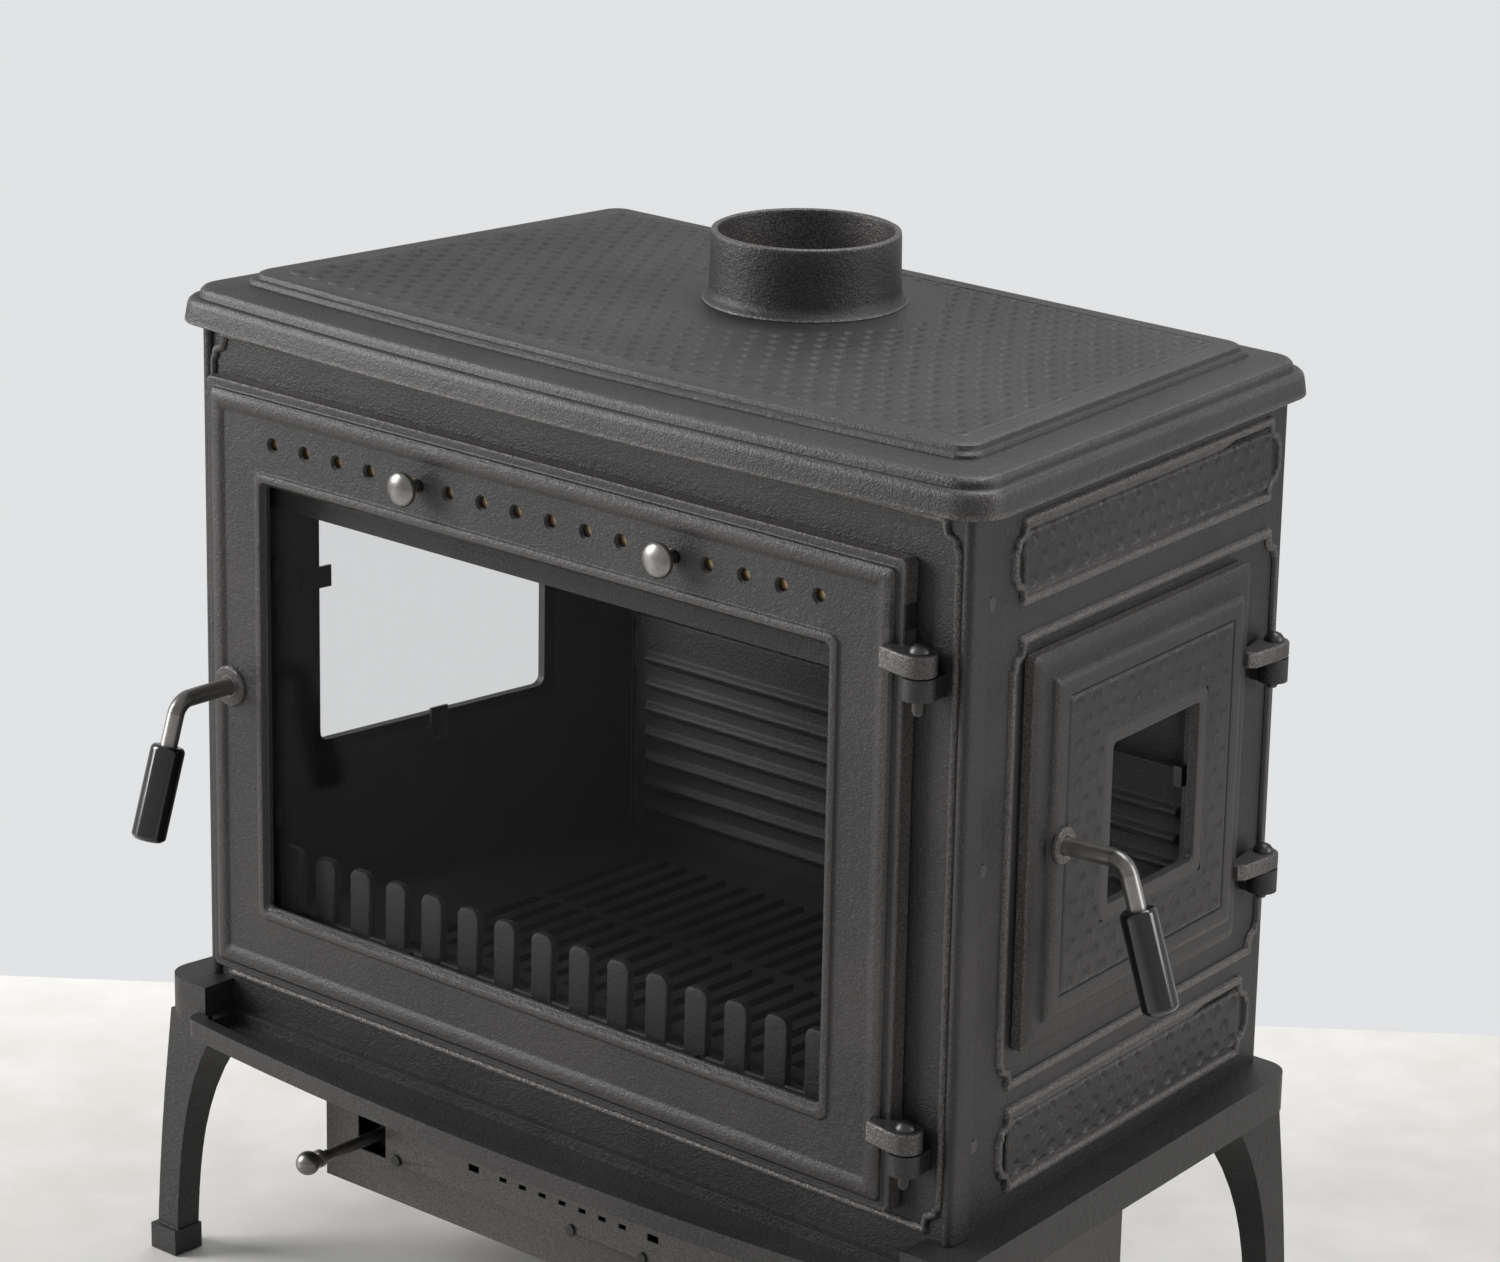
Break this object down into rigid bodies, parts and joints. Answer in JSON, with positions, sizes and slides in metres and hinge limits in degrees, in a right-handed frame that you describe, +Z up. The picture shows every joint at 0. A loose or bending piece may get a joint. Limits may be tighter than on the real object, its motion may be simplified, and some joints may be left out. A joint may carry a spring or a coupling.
{
  "type": "wood burning stove",
  "caption": "Free-standing cast-iron wood burning stove with a wide glazed front door, glazed side loading door, top flue collar, ash shelf and splayed legs.",
  "frame": {"origin": "middle of the bounding box on the floor, under the stove", "axes": "+Z up; the front door faces -Y; the side loading door is on the +X side"},
  "size_m": [0.9337, 0.5815, 0.899],
  "materials": {
    "iron": "matte stove paint over fine sand-cast grain, burnished along raised edges",
    "firebox_iron": "matte, sooty",
    "sheet": "matte stove paint",
    "steel": "satin",
    "slide": "heat-tinted sheet steel",
    "hardware": "blackened",
    "grip": "glossy black heat-proof moulding",
    "rope": "braided glass-fibre rope and tape",
    "glass": "clear heat-proof ceramic glass"
  },
  "bodies": {
    "stove_body": {"lid": "iron", "flue_collar": "iron", "collar_bolts": "hardware", "front_plate": "iron", "left_plate": "iron", "right_plate": "iron", "back_plate": "iron", "bottom_plate": "firebox_iron", "firebox_floor": "firebox_iron", "grate": "firebox_iron", "log_guard": "firebox_iron", "fire_back": "firebox_iron", "baffle": "firebox_iron", "air_deflector": "firebox_iron", "base_frame": "iron", "ash_shelf": "iron", "leg_front_left": "iron", "leg_front_right": "iron", "leg_rear_left": "iron", "leg_rear_right": "iron", "shelf_bolts": "hardware", "ash_box_screws": "hardware", "tie_rods": "hardware", "plate_screws": "hardware", "left_window_glass": "glass", "left_glass_clips": "hardware", "left_clip_screws": "hardware", "ash_box": "sheet", "rod_guide": "hardware", "front_hinge_pins": "hardware", "side_hinge_pins": "hardware"},
    "front_door_leaf": {"front_door": "iron", "front_door_seal": "rope", "front_glass": "glass", "front_glass_tape": "rope", "front_glass_clips": "hardware", "front_clip_screws": "hardware", "slide_straps": "hardware"},
    "side_door_leaf": {"side_door": "iron", "side_door_seal": "rope", "side_glass": "glass", "side_glass_tape": "rope", "side_glass_clips": "hardware", "side_clip_screws": "hardware"},
    "front_handle": {"front_handle_rod": "steel", "front_handle_grip": "grip", "front_latch_tongue": "hardware"},
    "side_handle": {"side_handle_rod": "steel", "side_handle_grip": "grip", "side_latch_tongue": "hardware"},
    "air_shutter": {"air_slide": "slide", "air_slide_knobs": "steel"},
    "ash_drawer": {"ash_drawer_front": "sheet", "ash_pan": "sheet", "ash_pan_front": "sheet", "drawer_rivets": "hardware"},
    "air_rod_set": {"air_rod": "steel", "air_rod_knob": "steel", "air_damper": "sheet"}
  },
  "joints": [
    {"name": "front_door_swing", "type": "hinge", "parent": "stove_body", "child": "front_door_leaf", "pos_m": [0.33006, -0.18782, 0.513], "axis": [0, 0, 1], "range_deg": [0, 110]},
    {"name": "side_door_swing", "type": "hinge", "parent": "stove_body", "child": "side_door_leaf", "pos_m": [0.32643, 0.24723, 0.518], "axis": [0, 0, 1], "range_deg": [0, 110]},
    {"name": "front_handle_turn", "type": "hinge", "parent": "front_door_leaf", "child": "front_handle", "pos_m": [-0.38594, -0.18882, 0.51], "axis": [0, 1, 0], "range_deg": [0, 80]},
    {"name": "side_handle_turn", "type": "hinge", "parent": "side_door_leaf", "child": "side_handle", "pos_m": [0.3651, -0.06039, 0.532], "axis": [-0.994, -0.1097, 0], "range_deg": [0, 80]},
    {"name": "air_slide_move", "type": "slide", "parent": "front_door_leaf", "child": "air_shutter", "axis": [1, 0, 0], "range_m": [-0.009, 0.003]},
    {"name": "ash_drawer_slide", "type": "slide", "parent": "stove_body", "child": "ash_drawer", "axis": [0, -1, 0], "range_m": [0, 0.22]},
    {"name": "air_rod_slide", "type": "slide", "parent": "stove_body", "child": "air_rod_set", "axis": [0, -1, 0], "range_m": [0, 0.024]}
  ]
}
